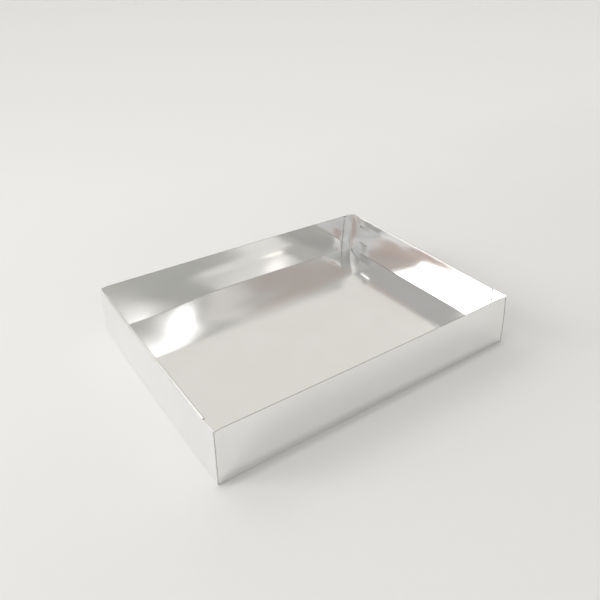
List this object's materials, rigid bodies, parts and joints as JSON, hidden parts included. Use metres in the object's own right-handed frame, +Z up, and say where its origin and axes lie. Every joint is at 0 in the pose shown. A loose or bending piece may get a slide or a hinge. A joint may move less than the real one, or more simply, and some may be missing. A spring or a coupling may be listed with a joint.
{
  "type": "folding card tray",
  "caption": "Shallow open tray folded from mirror-silver card: its short ends roll over corner flaps of the long walls, and every wall unfolds flat.",
  "frame": {"origin": "middle of the underside of the floor panel", "axes": "+X along the long walls towards the right rolled end, +Y from the front wall to the back wall, +Z up"},
  "size_m": [0.24, 0.18, 0.04],
  "materials": {
    "silver_card": "polished"
  },
  "bodies": {
    "base": {"base_panel": "silver_card", "front_base_crease": "silver_card", "back_base_crease": "silver_card", "left_base_crease": "silver_card", "right_base_crease": "silver_card"},
    "front_wall": {"front_wall": "silver_card", "front_left_corner_crease": "silver_card", "front_right_corner_crease": "silver_card"},
    "back_wall": {"back_wall": "silver_card", "back_left_corner_crease": "silver_card", "back_right_corner_crease": "silver_card"},
    "front_left_flap": {"front_left_flap": "silver_card"},
    "front_right_flap": {"front_right_flap": "silver_card"},
    "back_left_flap": {"back_left_flap": "silver_card"},
    "back_right_flap": {"back_right_flap": "silver_card"},
    "left_end": {"left_end_panel": "silver_card", "left_rim_outer_crease": "silver_card"},
    "left_rim": {"left_rim_panel": "silver_card", "left_rim_inner_crease": "silver_card"},
    "left_inner": {"left_inner_panel": "silver_card"},
    "right_end": {"right_end_panel": "silver_card", "right_rim_outer_crease": "silver_card"},
    "right_rim": {"right_rim_panel": "silver_card", "right_rim_inner_crease": "silver_card"},
    "right_inner": {"right_inner_panel": "silver_card"}
  },
  "joints": [
    {"name": "front_fold", "type": "hinge", "parent": "base", "child": "front_wall", "pos_m": [0, -0.08977, 0.00022], "axis": [1, 0, 0], "range_deg": [0, 86]},
    {"name": "back_fold", "type": "hinge", "parent": "base", "child": "back_wall", "pos_m": [0, 0.08977, 0.00022], "axis": [-1, 0, 0], "range_deg": [0, 86]},
    {"name": "left_unroll", "type": "hinge", "parent": "base", "child": "left_end", "pos_m": [-0.11978, 0, 0.00022], "axis": [0, -1, 0], "range_deg": [0, 86]},
    {"name": "left_rim_turn", "type": "hinge", "parent": "left_end", "child": "left_rim", "pos_m": [-0.11978, 0, 0.03977], "axis": [0, -1, 0], "range_deg": [0, 86]},
    {"name": "left_inner_lift", "type": "hinge", "parent": "left_rim", "child": "left_inner", "pos_m": [-0.11847, 0, 0.03977], "axis": [0, -1, 0], "range_deg": [0, 86]},
    {"name": "right_unroll", "type": "hinge", "parent": "base", "child": "right_end", "pos_m": [0.11978, 0, 0.00022], "axis": [0, 1, 0], "range_deg": [0, 86]},
    {"name": "right_rim_turn", "type": "hinge", "parent": "right_end", "child": "right_rim", "pos_m": [0.11978, 0, 0.03977], "axis": [0, 1, 0], "range_deg": [0, 86]},
    {"name": "right_inner_lift", "type": "hinge", "parent": "right_rim", "child": "right_inner", "pos_m": [0.11847, 0, 0.03977], "axis": [0, 1, 0], "range_deg": [0, 86]},
    {"name": "front_left_flap_swing", "type": "hinge", "parent": "front_wall", "child": "front_left_flap", "pos_m": [-0.11912, -0.08977, 0.02], "axis": [0, 0, 1], "range_deg": [0, 86]},
    {"name": "front_right_flap_swing", "type": "hinge", "parent": "front_wall", "child": "front_right_flap", "pos_m": [0.11912, -0.08977, 0.02], "axis": [0, 0, -1], "range_deg": [0, 86]},
    {"name": "back_left_flap_swing", "type": "hinge", "parent": "back_wall", "child": "back_left_flap", "pos_m": [-0.11912, 0.08977, 0.02], "axis": [0, 0, -1], "range_deg": [0, 86]},
    {"name": "back_right_flap_swing", "type": "hinge", "parent": "back_wall", "child": "back_right_flap", "pos_m": [0.11912, 0.08977, 0.02], "axis": [0, 0, 1], "range_deg": [0, 86]}
  ],
  "couplings": [
    {"joint": "left_rim_turn", "follows": "left_unroll", "ratio": 1},
    {"joint": "left_inner_lift", "follows": "left_unroll", "ratio": 1},
    {"joint": "front_left_flap_swing", "follows": "left_unroll", "ratio": 1},
    {"joint": "back_left_flap_swing", "follows": "left_unroll", "ratio": 1},
    {"joint": "right_rim_turn", "follows": "right_unroll", "ratio": 1},
    {"joint": "right_inner_lift", "follows": "right_unroll", "ratio": 1},
    {"joint": "front_right_flap_swing", "follows": "right_unroll", "ratio": 1},
    {"joint": "back_right_flap_swing", "follows": "right_unroll", "ratio": 1}
  ]
}
